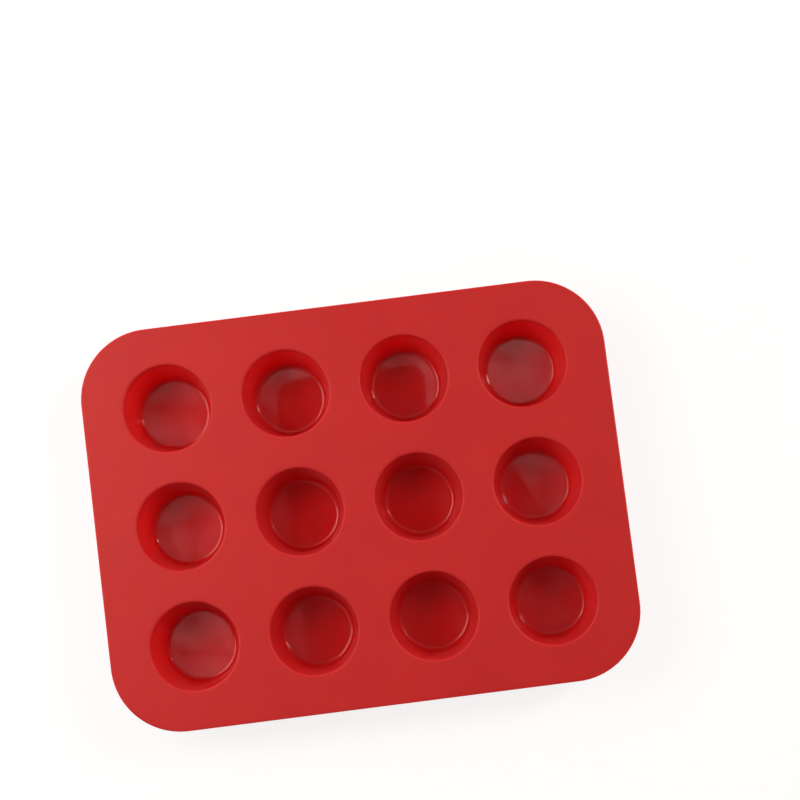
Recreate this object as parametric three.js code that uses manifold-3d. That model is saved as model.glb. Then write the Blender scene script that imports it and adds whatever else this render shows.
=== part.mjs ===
// Twelve-cup silicone cake mould, four cups long and three wide, mouths up.
// Millimetres, +Z up. The origin is on the surface the cup bases stand on,
// under the middle of the tray. +X runs along the four cups, +Y along the three.
// The real mould is one moulding in one material. Its features are kept apart
// here: the flat deck, the rim that stiffens its edge, and each of the cups.

import * as THREE from 'three';
import { mergeVertices } from 'three/addons/utils/BufferGeometryUtils.js';
import Module from 'manifold-3d';

const wasm = await Module();
wasm.setup();

// Driving dimensions
const COLUMNS = 4;
const ROWS = 3;
const PITCH = 58;             // cup centre to cup centre, the same both ways
const END_MARGIN = 41.3;      // outer cup centres to the short edges
const SIDE_MARGIN = 40;       // outer cup centres to the long edges
const CORNER_RADIUS = 34;     // rounded corners of the tray, seen from above
const HEIGHT = 28;            // from the cup bases to the top of the deck
const DECK_THICKNESS = 1.6;

const MOUTH_RADIUS = 21.2;    // bore of a cup just under its rounded mouth
const BASE_RADIUS = 17.7;     // bore where the wall meets the cup's floor
const WALL = 1;               // cup wall, measured across
const FLOOR = 1.2;            // thickness of a cup's floor
const MOUTH_ROUND = 1.1;      // rounding of the deck into the mouth
const FLOOR_FILLET = 2.2;     // inside, where wall and floor meet
const BASE_FILLET = 1.3;      // outside, round the base the cup stands on
const ROOT_FILLET = 1.2;      // outside, where the wall meets the deck

const RIM_WIDTH = 2.7;        // width of the edge bead under the deck
const RIM_DROP = 2.4;         // how far the bead hangs below the deck
const RIM_ROUND = 0.7;        // rounding of the bead's two lower edges
const EDGE_ROUND = 0.7;       // rounding of the deck's top edge

const OVERRUN = 2;            // how far a cutter passes the face that it opens

const CUP_SIDES = 32;         // facets round a cup
const CORNER_STEPS = 10;      // facets in each corner of the tray
const FILLET_STEPS = 2;       // facets across a small rounding

// Sizes that follow from them
const LENGTH = (COLUMNS - 1) * PITCH + 2 * END_MARGIN;
const WIDTH = (ROWS - 1) * PITCH + 2 * SIDE_MARGIN;
const DECK_UNDERSIDE = HEIGHT - DECK_THICKNESS;
const MOUTH_EDGE = HEIGHT - MOUTH_ROUND;
const WALL_SLOPE = (MOUTH_RADIUS - BASE_RADIUS) / (MOUTH_EDGE - FLOOR);
const WALL_ACROSS = WALL * Math.hypot(1, WALL_SLOPE);

const boreRadius = (z) => BASE_RADIUS + WALL_SLOPE * (z - FLOOR);
const outsideRadius = (z) => boreRadius(z) + WALL_ACROSS;

// Points of the arc that rounds a corner between two straight lines
function fillet(before, corner, after, radius) {
  const back = before.clone().sub(corner).normalize();
  const forward = after.clone().sub(corner).normalize();
  const half = Math.acos(back.dot(forward)) / 2;
  const middle = back.clone().add(forward).normalize();
  const centre = corner.clone().addScaledVector(middle, radius / Math.sin(half));
  const start = corner.clone().addScaledVector(back, radius / Math.tan(half)).sub(centre);
  const turn = Math.sign(back.cross(forward)) * (Math.PI - 2 * half);
  return Array.from({ length: FILLET_STEPS + 1 }, (_, i) =>
    start.clone().rotateAround(new THREE.Vector2(), (-turn * i) / FILLET_STEPS).add(centre));
}

// A solid of revolution about Z from a profile of radius and height
function turned(profile) {
  return new THREE.LatheGeometry(profile, CUP_SIDES).rotateX(Math.PI / 2);
}

// The tray's outline, drawn in from its true edge by inset
function outline(inset) {
  const radius = CORNER_RADIUS - inset;
  const quarters = [[1, 1], [-1, 1], [-1, -1], [1, -1]];
  return quarters.flatMap(([sx, sy], quarter) =>
    Array.from({ length: CORNER_STEPS + 1 }, (_, i) => {
      const angle = (quarter + i / CORNER_STEPS) * (Math.PI / 2);
      return new THREE.Vector2(
        sx * (LENGTH / 2 - CORNER_RADIUS) + radius * Math.cos(angle),
        sy * (WIDTH / 2 - CORNER_RADIUS) + radius * Math.sin(angle));
    }));
}

// Skin between stacked outlines; each section is an inset and a height.
// A closed stack joins its last outline to its first, an open one is capped.
function stacked(sections, closed) {
  const rings = sections.map((section) => outline(section.x));
  const around = rings[0].length;
  const positions = rings.flatMap((ring, level) =>
    ring.flatMap((point) => [point.x, point.y, sections[level].y]));
  const faces = [];
  const levels = closed ? rings.length : rings.length - 1;
  for (let level = 0; level < levels; level += 1) {
    const low = level * around;
    const high = ((level + 1) % rings.length) * around;
    for (let i = 0; i < around; i += 1) {
      const next = (i + 1) % around;
      faces.push(low + i, low + next, high + next, low + i, high + next, high + i);
    }
  }
  if (!closed) {
    const top = (rings.length - 1) * around;
    for (let i = 1; i < around - 1; i += 1) {
      faces.push(0, i + 1, i, top, top + i, top + i + 1);
    }
  }
  const geometry = new THREE.BufferGeometry();
  geometry.setAttribute('position', new THREE.Float32BufferAttribute(positions, 3));
  geometry.setIndex(faces);
  return geometry;
}

function toManifold(geometry) {
  const bare = geometry.clone();
  bare.deleteAttribute('normal');
  bare.deleteAttribute('uv');
  const merged = mergeVertices(bare);
  return new wasm.Manifold(new wasm.Mesh({
    numProp: 3,
    vertProperties: new Float32Array(merged.attributes.position.array),
    triVerts: new Uint32Array(merged.index.array),
  }));
}

function toGeometry(solid) {
  const mesh = solid.getMesh();
  const geometry = new THREE.BufferGeometry();
  geometry.setAttribute('position', new THREE.BufferAttribute(mesh.vertProperties, 3));
  geometry.setIndex(new THREE.BufferAttribute(mesh.triVerts, 1));
  return geometry;
}

const at = (radius, z) => new THREE.Vector2(radius, z);

// The centres of the cups, row 1 at +Y and column 1 at -X
const cups = [];
for (let row = 1; row <= ROWS; row += 1) {
  for (let column = 1; column <= COLUMNS; column += 1) {
    cups.push({
      name: `cup_r${row}_c${column}`,
      x: (column - (COLUMNS + 1) / 2) * PITCH,
      y: ((ROWS + 1) / 2 - row) * PITCH,
    });
  }
}

// Deck: the flat sheet that joins the cups, with a rounded mouth over each
function deckGeometry() {
  const plate = toManifold(stacked([
    at(0, DECK_UNDERSIDE),
    ...fillet(at(0, DECK_UNDERSIDE), at(0, HEIGHT), at(CORNER_RADIUS, HEIGHT), EDGE_ROUND),
  ], false));
  const cutBottom = DECK_UNDERSIDE - OVERRUN;
  const mouthSide = at(boreRadius(cutBottom), cutBottom);
  const mouthTop = at(MOUTH_RADIUS + WALL_SLOPE * MOUTH_ROUND, HEIGHT);
  const rounding = fillet(mouthSide, mouthTop, at(LENGTH, HEIGHT), MOUTH_ROUND);
  const mouthRim = rounding[FILLET_STEPS];
  const cutter = toManifold(turned([
    at(0, cutBottom),
    mouthSide,
    ...rounding,
    at(mouthRim.x, HEIGHT + OVERRUN),
    at(0, HEIGHT + OVERRUN),
  ]));
  return toGeometry(cups.reduce(
    (deck, cup) => deck.subtract(cutter.translate([cup.x, cup.y, 0])), plate));
}

// Rim: the bead under the deck's edge that keeps the tray from flopping
function rimGeometry() {
  const outerTop = at(0, DECK_UNDERSIDE);
  const outerLow = at(0, DECK_UNDERSIDE - RIM_DROP);
  const innerLow = at(RIM_WIDTH, DECK_UNDERSIDE - RIM_DROP);
  const innerTop = at(RIM_WIDTH, DECK_UNDERSIDE);
  return stacked([
    innerTop,
    ...fillet(innerTop, innerLow, outerLow, RIM_ROUND),
    ...fillet(innerLow, outerLow, outerTop, RIM_ROUND),
    outerTop,
  ], true);
}

// Cup: a tapered thin wall with a flat floor, open at the top
function cupGeometry() {
  const axisLow = at(0, 0);
  const baseEdge = at(outsideRadius(0), 0);
  const root = at(outsideRadius(DECK_UNDERSIDE), DECK_UNDERSIDE);
  const underDeck = at(root.x + ROOT_FILLET, DECK_UNDERSIDE);
  const boreTop = at(boreRadius(DECK_UNDERSIDE), DECK_UNDERSIDE);
  const boreLow = at(BASE_RADIUS, FLOOR);
  const axisFloor = at(0, FLOOR);
  return turned([
    axisLow,
    ...fillet(axisLow, baseEdge, root, BASE_FILLET),
    ...fillet(baseEdge, root, underDeck, ROOT_FILLET),
    boreTop,
    ...fillet(boreTop, boreLow, axisFloor, FLOOR_FILLET),
    axisFloor,
  ]);
}

const silicone = new THREE.MeshStandardMaterial({ color: 0xc2332f, roughness: 0.5, metalness: 0 });
const cupSilicone = new THREE.MeshStandardMaterial({ color: 0xb0211f, roughness: 0.3, metalness: 0 });

const mould = new THREE.Group();

const deck = new THREE.Mesh(deckGeometry(), silicone);
deck.name = 'deck';
mould.add(deck);

const rim = new THREE.Mesh(rimGeometry(), silicone);
rim.name = 'rim';
mould.add(rim);

const cupShape = cupGeometry();
for (const { name, x, y } of cups) {
  const cup = new THREE.Mesh(cupShape, cupSilicone);
  cup.name = name;
  cup.position.set(x, y, 0);
  mould.add(cup);
}

export default mould;
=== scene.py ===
import math

import bmesh
import bpy
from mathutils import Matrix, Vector, noise


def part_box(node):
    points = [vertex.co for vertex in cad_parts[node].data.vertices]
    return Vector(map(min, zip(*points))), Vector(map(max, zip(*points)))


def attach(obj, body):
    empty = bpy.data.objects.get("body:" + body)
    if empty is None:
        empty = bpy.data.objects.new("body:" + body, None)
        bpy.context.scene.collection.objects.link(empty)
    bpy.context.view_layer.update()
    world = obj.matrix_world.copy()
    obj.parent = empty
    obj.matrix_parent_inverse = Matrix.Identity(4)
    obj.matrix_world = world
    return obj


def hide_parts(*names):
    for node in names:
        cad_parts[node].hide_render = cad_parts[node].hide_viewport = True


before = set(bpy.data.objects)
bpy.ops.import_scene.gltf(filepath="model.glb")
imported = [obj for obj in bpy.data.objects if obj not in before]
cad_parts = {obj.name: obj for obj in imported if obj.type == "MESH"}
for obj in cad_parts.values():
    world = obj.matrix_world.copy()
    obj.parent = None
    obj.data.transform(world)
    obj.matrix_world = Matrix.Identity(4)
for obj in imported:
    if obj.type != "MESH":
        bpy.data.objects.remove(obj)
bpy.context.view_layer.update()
MM = 0.001

# Camera
# It hangs over the tray a little towards the front and the right, and looks almost
# straight down. The tray lies turned by seven degrees in the picture.

CAMERA_PLACE = (35.7 * MM, -50.1 * MM, 819.2 * MM)
CAMERA_TURN = (4.103, 0.193, -7.25)     # degrees about X, Y and Z
CAMERA_LENS, CAMERA_SENSOR = 73.76, 36  # mm: the focal length and the sensor's width
CAMERA_SHIFT = (-0.05, 0.1)             # as shares of the picture's width

camera = bpy.data.objects.new("camera", bpy.data.cameras.new("camera"))
bpy.context.scene.collection.objects.link(camera)
camera.location = CAMERA_PLACE
camera.rotation_euler = [math.radians(angle) for angle in CAMERA_TURN]
camera.data.sensor_width = CAMERA_SENSOR
camera.data.lens = CAMERA_LENS
camera.data.shift_x, camera.data.shift_y = CAMERA_SHIFT
bpy.context.scene.camera = camera

# Silicone rubber, pigmented red and cured in a steel tool
# The sheet takes the tool's fine blasted grain, which gives a soft satin. The cores
# that form the cups are smooth on their sides and polished at the end, so the walls
# have a soft gloss, while the floors and their fillets mirror, with slow ripples.

SHEET_REDS = ("#c81816", "#d41d1a")
GLOW_PAINTED_CUP_REDS = ("#d02125", "#dc2629")   # the thin cups glow, as light comes through them; these reds are also brighter than the sheet's, which adds painted glow on top of that
SHEET_SCATTER = 0.8 * MM        # how far red light strays in it
CUP_SCATTER = 3 * MM
SCATTER_SHARES = (1, 0.08, 0.06)    # green and blue stray much less
SILICONE_INDEX = 1.41           # its refractive index
PIGMENT_CLOUD = 30 * MM         # width of the faint streaks in the stirred pigment
GRAIN = 0.7 * MM                # blasted grain is about 0.1 mm; drawn coarse enough to show
GRAIN_HEIGHT = 0.03 * MM
RIPPLE = 9 * MM                 # width of the ripples left by a hand-polished core
SMOOTH_HEIGHT, POLISHED_HEIGHT = 0.03 * MM, 0.008 * MM  # of the ripples in each finish
SATIN_ROUGHNESS = (0.46, 0.54)  # lowest and highest, as the pigment varies
SMOOTH_ROUGHNESS = (0.2, 0.28)
POLISHED_ROUGHNESS = (0.02, 0.035)


def linear(code):
    """The linear colour of an sRGB hex code."""
    parts = [int(code[i:i + 2], 16) / 255 for i in (1, 3, 5)]
    return [c / 12.92 if c <= 0.04045 else ((c + 0.055) / 1.055) ** 2.4 for c in parts] + [1]


def add(tree, kind, inputs, **settings):
    """Adds a node; each input is a value, or another node's output to link."""
    node = tree.nodes.new("ShaderNode" + kind)
    for name, value in settings.items():
        setattr(node, name, value)
    for name, value in inputs.items():
        if isinstance(value, bpy.types.NodeSocket):
            tree.links.new(value, node.inputs[name])
        else:
            node.inputs[name].default_value = value
    return node


def bare_material(name):
    """A material whose node tree is still empty."""
    material = bpy.data.materials.new(name)
    material.use_nodes = True
    material.node_tree.nodes.clear()
    return material


def silicone(name, reds, scatter, roughness, bump_width, bump_height):
    """Cured silicone: a dense red body under a clear skin of low index."""
    material = bare_material(name)
    tree = material.node_tree
    place = add(tree, "NewGeometry", {}).outputs["Position"]
    cloud = add(tree, "TexNoise", {"Vector": place, "Scale": 1 / PIGMENT_CLOUD, "Detail": 3})
    body = add(tree, "Mix", {"Factor": cloud.outputs["Fac"], "A": linear(reds[0]), "B": linear(reds[1])},
               data_type="RGBA")
    rough = add(tree, "MapRange", {"Value": cloud.outputs["Fac"],
                                   "To Min": roughness[0], "To Max": roughness[1]})
    surface = add(tree, "TexNoise", {"Vector": place, "Scale": 1 / bump_width, "Detail": 2})
    bump = add(tree, "Bump", {"Height": surface.outputs["Fac"], "Distance": bump_height})
    shader = add(tree, "BsdfPrincipled", {
        "Base Color": body.outputs["Result"], "Roughness": rough.outputs["Result"],
        "IOR": SILICONE_INDEX, "Normal": bump.outputs["Normal"], "Subsurface Weight": 1,
        "Subsurface Radius": SCATTER_SHARES, "Subsurface Scale": scatter})
    add(tree, "OutputMaterial", {"Surface": shader.outputs["BSDF"]})
    return material


satin = silicone("satin_silicone", SHEET_REDS, SHEET_SCATTER, SATIN_ROUGHNESS, GRAIN, GRAIN_HEIGHT)
# The smooth and polished silicone take the cups' brighter reds: painted glow in the bores and the
# mouths' lower rows.
smooth = silicone("smooth_silicone_painted_glow", GLOW_PAINTED_CUP_REDS, CUP_SCATTER, SMOOTH_ROUGHNESS, RIPPLE, SMOOTH_HEIGHT)
polished = silicone("polished_silicone_painted_glow", GLOW_PAINTED_CUP_REDS, CUP_SCATTER, POLISHED_ROUGHNESS, RIPPLE,
                    POLISHED_HEIGHT)
SATIN, SMOOTH, POLISHED = range(3)

# Deck
# One flat sheet of silicone, 1.6 mm thick, moulded in one shot with the rest. Each
# cup opens through it in a mouth with a small rounded edge.

CORNER_RADIUS = 34 * MM
EDGE_ROUND = 0.7 * MM
MOUTH_ROUND = 1.1 * MM
MOUTH_RADIUS = 21.2 * MM
BASE_RADIUS = 17.7 * MM
FLOOR = 1.2 * MM
SLUMP = 0.35 * MM               # how far the thin sheet sags, at most
SLUMP_WAVE = 85 * MM            # width of its slow waves
AROUND = 96                     # points round each cup
FIRST_TURN = -3 / 8             # where they start: towards the cell's front left corner
ARC_STEPS = 6
MOUTH_ROWS = 3                  # rows of faces in the mouth that are as smooth as the bore and take its brighter reds, with their painted glow
WELD = 0.002 * MM               # points nearer to each other than this become one
NEAR = 0.01 * MM                # how near the tray's outline a point counts as on it
SHARP_ANGLE = 40                # degrees between two faces, past which their edge is sharp

deck_low, deck_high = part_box("deck")
half_length, half_width = deck_high.x, deck_high.y
top, underside = deck_high.z, deck_low.z
wall_slope = (MOUTH_RADIUS - BASE_RADIUS) / (top - MOUTH_ROUND - FLOOR)

cups = {name: sum(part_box(name), Vector()) / 2
        for name in sorted(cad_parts) if name.startswith("cup")}
columns = sorted({round(centre.x, 4) for centre in cups.values()})
rows = sorted({round(centre.y, 4) for centre in cups.values()})


def bore(z):
    """Inside radius of a cup at height z."""
    return BASE_RADIUS + wall_slope * (z - FLOOR)


def fillet(before, corner, after, radius, steps=ARC_STEPS):
    """Points of the arc that rounds a corner between two straight lines."""
    back = (Vector(before) - Vector(corner)).normalized()
    forward = (Vector(after) - Vector(corner)).normalized()
    half = back.angle(forward) / 2
    centre = Vector(corner) + (back + forward).normalized() * radius / math.sin(half)
    start = (Vector(corner) + back * radius / math.tan(half) - centre).normalized()
    end = (Vector(corner) + forward * radius / math.tan(half) - centre).normalized()
    return [centre + start.slerp(end, i / steps) * radius for i in range(steps + 1)]


def relaxed(point):
    """The sag of a thin rubber sheet that stands on its cups: none at their bases."""
    wave = noise.noise(Vector((point.x, point.y, 0)) / SLUMP_WAVE)
    sag = SLUMP * (0.5 + 0.5 * wave) * (point.z / top) ** 2
    return Vector((point.x, point.y, point.z - sag))


def moulded(name, mesh, node):
    """Turns a bmesh into a finished piece that stands for a CAD node."""
    bmesh.ops.remove_doubles(mesh, verts=mesh.verts, dist=WELD)
    bmesh.ops.recalc_face_normals(mesh, faces=mesh.faces)
    for vert in mesh.verts:
        vert.co = relaxed(vert.co)
    for face in mesh.faces:
        face.smooth = True
    data = bpy.data.meshes.new(name)
    mesh.to_mesh(data)
    mesh.free()
    for material in (satin, smooth, polished):
        data.materials.append(material)
    data.set_sharp_from_angle(angle=math.radians(SHARP_ANGLE))
    piece = bpy.data.objects.new(name, data)
    bpy.context.scene.collection.objects.link(piece)
    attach(piece, "root")
    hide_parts(node)


def skin(mesh, strips, finish):
    """Faces between neighbouring strips of points; finish(i) is each row's material."""
    made = [[mesh.verts.new(point) for point in strip] for strip in strips]
    for one, other in zip(made, made[1:]):
        for i in range(len(one) - 1):
            face = mesh.faces.new((one[i], other[i], other[i + 1], one[i + 1]))
            face.material_index = finish(i)


def border(cell, k):
    """Point k round a cell's rectangle, moved on to the tray's outline where it is at
    the edge, and the way out from there."""
    (x0, x1), (y0, y1) = cell
    corners = [Vector((x0, y0)), Vector((x1, y0)), Vector((x1, y1)), Vector((x0, y1))]
    side, step = divmod(k % AROUND, AROUND // 4)
    point = corners[side].lerp(corners[(side + 1) % 4], step / (AROUND // 4))
    inner_x, inner_y = half_length - CORNER_RADIUS, half_width - CORNER_RADIUS
    inner = Vector((min(max(point.x, -inner_x), inner_x), min(max(point.y, -inner_y), inner_y)))
    out = point - inner
    if max(abs(out.x), abs(out.y)) < CORNER_RADIUS - NEAR:
        return point, None
    out.normalize()
    return inner + out * CORNER_RADIUS, out


def spoke(k):
    """The way out from a cup's middle to point k of those round it."""
    angle = math.tau * (k / AROUND + FIRST_TURN)
    return Vector((math.cos(angle), math.sin(angle)))


def raised(point, z):
    """The point of the plan, at height z."""
    return Vector((point.x, point.y, z))


def cell_edges(places, half):
    """Lines halfway between neighbouring cups, and the tray's two edges."""
    return [-half] + [(a + b) / 2 for a, b in zip(places, places[1:])] + [half]


mouth_side = (bore(underside), underside)
mouth_top = (bore(top), top)
mouth = [Vector(mouth_side)] + fillet(mouth_side, mouth_top, (half_length, top), MOUTH_ROUND)
edge = fillet((CORNER_RADIUS, top), (0, top), (0, underside), EDGE_ROUND)
SHEET_SHARES = (0.015, 0.1, 0.25, 0.4, 0.55, 0.7, 0.85, 0.985, 1)

x_edges = cell_edges(columns, half_length)
y_edges = cell_edges(rows, half_width)
mesh = bmesh.new()
for centre in cups.values():
    column = columns.index(round(centre.x, 4))
    row = rows.index(round(centre.y, 4))
    cell = x_edges[column:column + 2], y_edges[row:row + 2]
    hub = Vector((centre.x, centre.y))
    tops, sides, unders = [], [], []
    for k in range(AROUND + 1):
        ray = spoke(k)
        rim_point, out = border(cell, k)
        inset = rim_point - out * EDGE_ROUND if out else rim_point
        lip = hub + ray * mouth[-1].x
        tops.append([raised(hub + ray * at.x, at.y) for at in mouth]
                    + [raised(lip.lerp(inset, share), top) for share in SHEET_SHARES])
        low = hub + ray * mouth[0].x
        unders.append([raised(low.lerp(rim_point, share), underside) for share in (0,) + SHEET_SHARES])
        sides.append(out and [raised(rim_point - out * at.x, at.y) for at in edge]
                     + [raised(rim_point, underside)])
    skin(mesh, tops, lambda i: SMOOTH if i < MOUTH_ROWS else SATIN)
    skin(mesh, unders, lambda i: SATIN)
    for one, other in zip(sides, sides[1:]):
        if one and other:
            skin(mesh, [one, other], lambda i: SATIN)
moulded("silicone_deck", mesh, "deck")

# Rim
# A bead that hangs under the deck's edge all round and keeps the sheet from
# flopping. It is part of the same shot of silicone.

RIM_WIDTH = 2.7 * MM
RIM_ROUND = 0.7 * MM
RIM_FOOT = 0.5 * MM             # fillet where the bead's inner side meets the deck
SIDE_STEPS = 24
CORNER_STEPS = 24

rim_low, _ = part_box("rim")


def outline():
    """Points round the tray's edge, each with the way out from there."""
    places = []
    for quarter, (sx, sy) in enumerate([(1, 1), (-1, 1), (-1, -1), (1, -1)]):
        corner = Vector((sx * (half_length - CORNER_RADIUS), sy * (half_width - CORNER_RADIUS)))
        for i in range(CORNER_STEPS + 1):
            angle = (quarter + i / CORNER_STEPS) * math.pi / 2
            out = Vector((math.cos(angle), math.sin(angle)))
            places.append((corner + out * CORNER_RADIUS, out))
    return places


def along(places, steps):
    """The same outline with its straight sides divided into steps."""
    finer = []
    for (point, out), (after, _) in zip(places, places[1:] + places[:1]):
        pieces = steps if (after - point).length > CORNER_RADIUS else 1
        finer += [(point.lerp(after, i / pieces), out) for i in range(pieces)]
    return finer


outer_top = (0, underside)
outer_low = (0, rim_low.z)
inner_low = (RIM_WIDTH, rim_low.z)
inner_top = (RIM_WIDTH, underside)
section = ([Vector(outer_top)]
           + fillet(outer_top, outer_low, inner_low, RIM_ROUND)
           + fillet(outer_low, inner_low, inner_top, RIM_ROUND)
           + fillet(inner_low, inner_top, (CORNER_RADIUS, underside), RIM_FOOT)
           + [Vector(outer_top)])
mesh = bmesh.new()
places = along(outline(), SIDE_STEPS)
strips = [[raised(point - out * at.x, at.y) for at in section] for point, out in places + places[:1]]
skin(mesh, strips, lambda i: SATIN)
moulded("silicone_rim", mesh, "rim")

# Cups
# Twelve thin tapered cups, hung from the deck and open through it. The bore is
# glossy and the outside satin. Each stands on its own flat base.

WALL = 1 * MM
FLOOR_FILLET = 2.2 * MM
BASE_FILLET = 1.3 * MM
ROOT_FILLET = 1.2 * MM
FLOOR_DISH = 0.008 * MM         # how uneven a thin floor is after it leaves the tool
DISH_WIDTH = 16 * MM
FILLET_WANDER = 0.2             # share by which a hand-polished fillet widens and narrows
WANDER_SHARE = 0.45             # width of that, as a share of the floor's radius
FLOOR_STEPS = 10                # faces across that fillet

# Rings of points along the base, the wall and the floor, as shares of the way
BASE_SHARES = (0.001, 0.5, 0.97)
WALL_SHARES = (0.02, 0.25, 0.5, 0.75, 0.98)
FLOOR_SHARES = (0.02, 0.1, 0.2, 0.3, 0.4, 0.5, 0.6, 0.7, 0.8, 0.9, 0.999)

wall_across = WALL * math.hypot(1, wall_slope)


def line(a, b, shares):
    """Points on the straight line from a to b, at those shares of the way."""
    return [Vector(a).lerp(Vector(b), share) for share in shares]


def dished(point, seed):
    """How far an uneven floor is off its level here: not at all at its edge."""
    spread = Vector((point.x, point.y)).length / BASE_RADIUS
    still = max(0, 1 - spread ** 4)
    return FLOOR_DISH * noise.noise(Vector((point.x / DISH_WIDTH, point.y / DISH_WIDTH, seed))) * still


base_edge = (bore(0) + wall_across, 0)
root = (bore(underside) + wall_across, underside)
bore_top = (bore(underside), underside)
bore_low = (BASE_RADIUS, FLOOR)
base_arc = fillet((0, 0), base_edge, root, BASE_FILLET)
root_arc = fillet(base_edge, root, (half_length, underside), ROOT_FILLET)
outside = (line((0, 0), base_arc[0], BASE_SHARES) + base_arc
           + line(base_arc[-1], root_arc[0], WALL_SHARES) + root_arc + [Vector(bore_top)])

for seed, (name, centre) in enumerate(cups.items()):
    strips = []
    for k in range(AROUND + 1):
        ray = spoke(k)
        wander = FILLET_WANDER * noise.noise(raised(ray / WANDER_SHARE, seed))
        floor_arc = fillet(bore_top, bore_low, (0, FLOOR), FLOOR_FILLET * (1 + wander), FLOOR_STEPS)
        wall = line(bore_top, floor_arc[0], WALL_SHARES[1:])
        inside = wall + floor_arc + line(floor_arc[-1], (0, FLOOR), FLOOR_SHARES)
        profile = outside + inside
        strip = [raised(ray * at.x, at.y) for at in profile]
        for i in range(len(outside), len(profile)):
            if profile[i].y < FLOOR + FLOOR_FILLET:
                strip[i].z += dished(strip[i], seed)
        strips.append([point + raised(centre, 0) for point in strip])
    finishes = [SATIN] * (len(outside) - 1) + [SMOOTH] * len(wall) + [POLISHED] * len(profile)
    mesh = bmesh.new()
    skin(mesh, strips, lambda i: finishes[i])
    for level, finish in ((0, SATIN), (-1, POLISHED)):
        ends = [strip[level] for strip in strips[:-1]]
        mesh.faces.new([mesh.verts.new(point) for point in ends]).material_index = finish
    moulded("silicone_" + name, mesh, name)

# Studio
# A white table in a tent that is dim above and brighter low down. One lamp box hangs on
# the left, another far off on the right, and flat lamps lie round the tray. The glossy
# floors mirror the tent's pale top, the camera's dark hood and a dim card above it.

WHITE = "#ffffff"
TENT_DIM = 0.25
TENT_LOW, TENT_BACK = 1.4, 1.2  # all round near the table, and more of it at the back
TENT_FALL = 5                   # the power by which that fades higher up
LEFT_BOX = {"place": (-520, 200, 600), "size": (520, 420), "watts": 3.4}
RIGHT_BOX = {"place": (1375, 519, 1200), "size": (300, 1070), "watts": 14.5}
FLAT_WIDTH = 500 * MM           # of the lamps that lie on the table and face up
FLAT_LIFT = 1 * MM
FRONT_WATTS, BACK_WATTS, SIDE_WATTS = 0.8, 2.4, 0.2
LAMP_WARMTH = "#fff6ea"
TABLE_HALF = 6                  # metres, far past the edges of the picture
TABLE_GAP = 0.05 * MM           # keeps the table's face apart from the cups' bases
TABLE_PAPER, TABLE_GLOW = "#f4f4f4", 1.1
SHADOW_SHARE = 0.25             # how much of the table near the tray is lit paper
SHADOW_REACH = (0.3, 1.2)       # metres: where that starts to fade to white, and has gone


def seen_white(tree):
    """1 for what the camera sees of the background, straight or in gloss or glass."""
    path = add(tree, "LightPath", {})
    seen = path.outputs["Is Camera Ray"]
    for ray in ("Is Glossy Ray", "Is Transmission Ray"):
        seen = add(tree, "Math", {0: seen, 1: path.outputs[ray]}, operation="MAXIMUM").outputs[0]
    return seen


world = bpy.data.worlds.new("tent")
world.use_nodes = True
world.node_tree.nodes.clear()
tree = world.node_tree
way = add(tree, "SeparateXYZ", {"Vector": add(tree, "TexCoord", {}).outputs["Generated"]})
low = add(tree, "MapRange", {"Value": way.outputs["Z"], "To Min": 1, "To Max": 0})
low = add(tree, "Math", {0: low.outputs["Result"], 1: TENT_FALL}, operation="POWER")
side = add(tree, "Math", {0: way.outputs["Y"], 1: TENT_BACK, 2: TENT_LOW}, operation="MULTIPLY_ADD")
light = add(tree, "Math", {0: low.outputs[0], 1: side.outputs[0], 2: TENT_DIM}, operation="MULTIPLY_ADD")
strength = add(tree, "MapRange", {"Value": seen_white(tree), "To Min": light.outputs[0], "To Max": 1})
sky = add(tree, "Background", {"Color": linear(WHITE), "Strength": strength.outputs["Result"]})
add(tree, "OutputWorld", {"Surface": sky.outputs["Background"]})
bpy.context.scene.world = world

table_white = bare_material("white_table")
tree = table_white.node_tree
paper = add(tree, "BsdfDiffuse", {"Color": linear(TABLE_PAPER)})
glow = add(tree, "Emission", {"Color": linear(WHITE), "Strength": TABLE_GLOW})
away = add(tree, "VectorMath", {0: add(tree, "NewGeometry", {}).outputs["Position"]}, operation="LENGTH")
glowing = add(tree, "MapRange", {"Value": away.outputs["Value"], "From Min": SHADOW_REACH[0],
                                 "From Max": SHADOW_REACH[1], "To Min": 1 - SHADOW_SHARE, "To Max": 1})
share = add(tree, "Math", {0: seen_white(tree), 1: glowing.outputs["Result"]}, operation="MULTIPLY")
both = add(tree, "MixShader", {0: share.outputs[0], 1: paper.outputs[0], 2: glow.outputs[0]})
add(tree, "OutputMaterial", {"Surface": both.outputs[0]})


def sheet_of(name, corners, height, material):
    """A flat face of the studio, with these corners in plan."""
    data = bpy.data.meshes.new(name)
    data.from_pydata([(x, y, height) for x, y in corners], [], [tuple(range(len(corners)))])
    data.materials.append(material)
    piece = bpy.data.objects.new(name, data)
    bpy.context.scene.collection.objects.link(piece)
    return piece


def square(half):
    return [(-half, -half), (half, -half), (half, half), (-half, half)]


sheet_of("table", square(TABLE_HALF), -TABLE_GAP, table_white)

CEILING = 1500 * MM
CEILING_HALF = 2600 * MM
PATCH_CENTRE = (-250 * MM, 100 * MM, CEILING)
PATCH = (550 * MM, 900 * MM)    # the pale patch's radius, and where it has faded out
CREASE = 280 * MM               # width of the light and dark creases in the cloth
CREASE_SLIDE = (3.84, 0.57, 0)  # which part of the crease pattern hangs over the tray
FOLD = 35 * MM                  # width of the finer folds
FOLD_SHARE = 0.9                # how strong they are beside the creases
CREASE_RANGE = (0.3, 0.7)       # of the noise, spread from the dimmest level to the brightest
TENT_CLOTH = (0.18, 1.15, 0.12)     # dimmest, brightest, and beyond the patch
DIM_CLOTH = (0.06, 0.34, 0)
DARK_CLOTH = (0, 0.14, 0)
CARD_ROUND = 25 * MM
DIM_CARD = [(-235, -800), (684, -800), (140, 140), (-235, 140)]
DIM_HEIGHT = 1480 * MM
HOOD = [(-165, -800), (45, -800), (45, 280), (-165, 280)]
HOOD_HEIGHT = 1470 * MM


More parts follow.
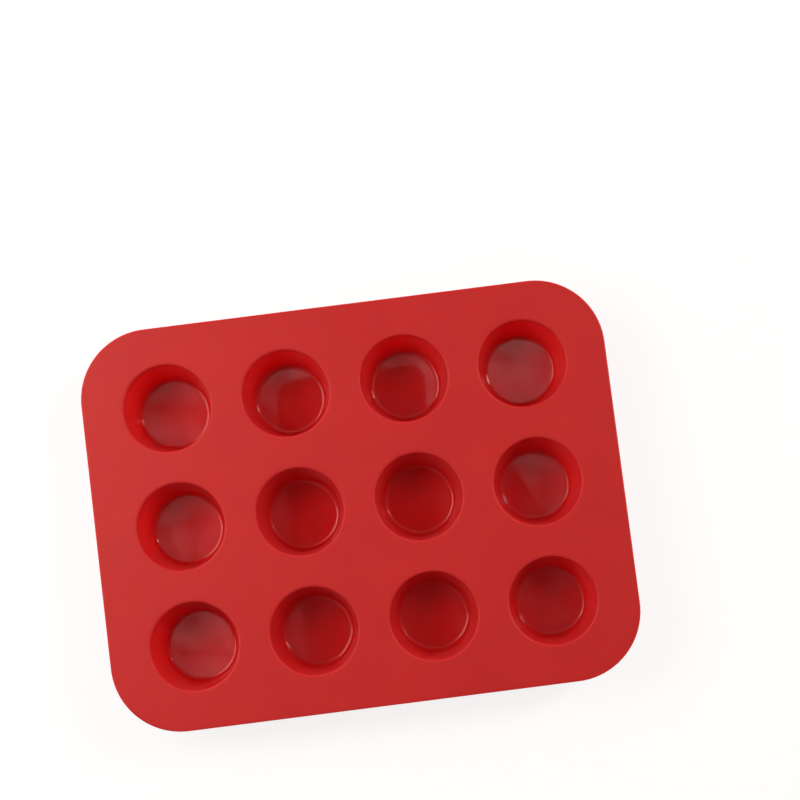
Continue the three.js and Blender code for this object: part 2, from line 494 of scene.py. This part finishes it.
def creased(name, dimmest, brightest, edge):
    """Cloth that shows soft creases in gloss, and fades to an edge level further out."""
    material = bare_material(name)
    tree = material.node_tree
    place = add(tree, "NewGeometry", {}).outputs["Position"]
    slid = add(tree, "VectorMath", {0: place, 1: CREASE_SLIDE})
    crease = add(tree, "TexNoise", {"Vector": slid.outputs["Vector"], "Scale": 1 / CREASE, "Detail": 2})
    fold = add(tree, "TexNoise", {"Vector": place, "Scale": 1 / FOLD, "Detail": 2})
    fold = add(tree, "Math", {0: fold.outputs["Fac"], 1: 0.5}, operation="SUBTRACT")
    both = add(tree, "Math", {0: fold.outputs[0], 1: FOLD_SHARE, 2: crease.outputs["Fac"]},
               operation="MULTIPLY_ADD")
    level = add(tree, "MapRange", {"Value": both.outputs[0], "From Min": CREASE_RANGE[0],
                                   "From Max": CREASE_RANGE[1], "To Min": dimmest,
                                   "To Max": brightest})
    away = add(tree, "VectorMath", {0: place, 1: PATCH_CENTRE}, operation="DISTANCE")
    level = add(tree, "MapRange", {"Value": away.outputs["Value"], "From Min": PATCH[0],
                                   "From Max": PATCH[1], "To Min": level.outputs["Result"],
                                   "To Max": edge})
    cloth = add(tree, "Emission", {"Color": linear(WHITE), "Strength": level.outputs["Result"]})
    add(tree, "OutputMaterial", {"Surface": cloth.outputs[0]})
    return material


def card(name, corners, height, material):
    """A plain four-sided card with rounded corners."""
    corners = [Vector(corner) * MM for corner in corners]
    points = []
    for i, corner in enumerate(corners):
        points += fillet(corners[i - 1], corner, corners[(i + 1) % len(corners)], CARD_ROUND)
    return sheet_of(name, points, height, material)


for overhead in (
        sheet_of("tent_top", square(CEILING_HALF), CEILING, creased("tent_cloth", *TENT_CLOTH)),
        card("dim_card", DIM_CARD, DIM_HEIGHT, creased("dim_cloth", *DIM_CLOTH)),
        card("camera_hood", HOOD, HOOD_HEIGHT, creased("dark_cloth", *DARK_CLOTH))):
    overhead.visible_camera = False
    overhead.visible_diffuse = False
    overhead.visible_shadow = False


def soft_lamp(name, place, size, watts):
    """An oblong lamp that the camera doesn't see."""
    lamp = bpy.data.lights.new(name, "AREA")
    lamp.shape = "RECTANGLE"
    lamp.size, lamp.size_y = size
    lamp.energy = watts
    lamp.color = linear(LAMP_WARMTH)[:3]
    piece = bpy.data.objects.new(name, lamp)
    bpy.context.scene.collection.objects.link(piece)
    piece.visible_camera = False
    piece.location = place
    return piece


def hung_box(name, place, size, watts):
    """A lamp box that is turned towards the middle of the deck."""
    box = soft_lamp(name, Vector(place) * MM, Vector(size) * MM, watts)
    aim = Vector((0, 0, top)) - box.location
    box.rotation_euler = aim.to_track_quat("-Z", "Y").to_euler()


def flat_lamp(name, side_x, side_y, watts):
    """A lamp that lies on the table along one side of the tray and faces up."""
    length = 2 * half_width if side_x else 2 * (half_length + FLAT_WIDTH)
    place = (side_x * (half_length + FLAT_WIDTH / 2), side_y * (half_width + FLAT_WIDTH / 2), FLAT_LIFT)
    size = (FLAT_WIDTH, length) if side_x else (length, FLAT_WIDTH)
    flat = soft_lamp(name, place, size, watts)
    flat.rotation_euler = (math.pi, 0, 0)
    flat.visible_glossy = False


hung_box("left_box", **LEFT_BOX)
hung_box("right_box", **RIGHT_BOX)
flat_lamp("front_lamp", 0, -1, FRONT_WATTS)
flat_lamp("back_lamp", 0, 1, BACK_WATTS)
flat_lamp("left_lamp", -1, 0, SIDE_WATTS)
flat_lamp("right_lamp", 1, 0, SIDE_WATTS)

bpy.context.scene.view_settings.view_transform = "Standard"
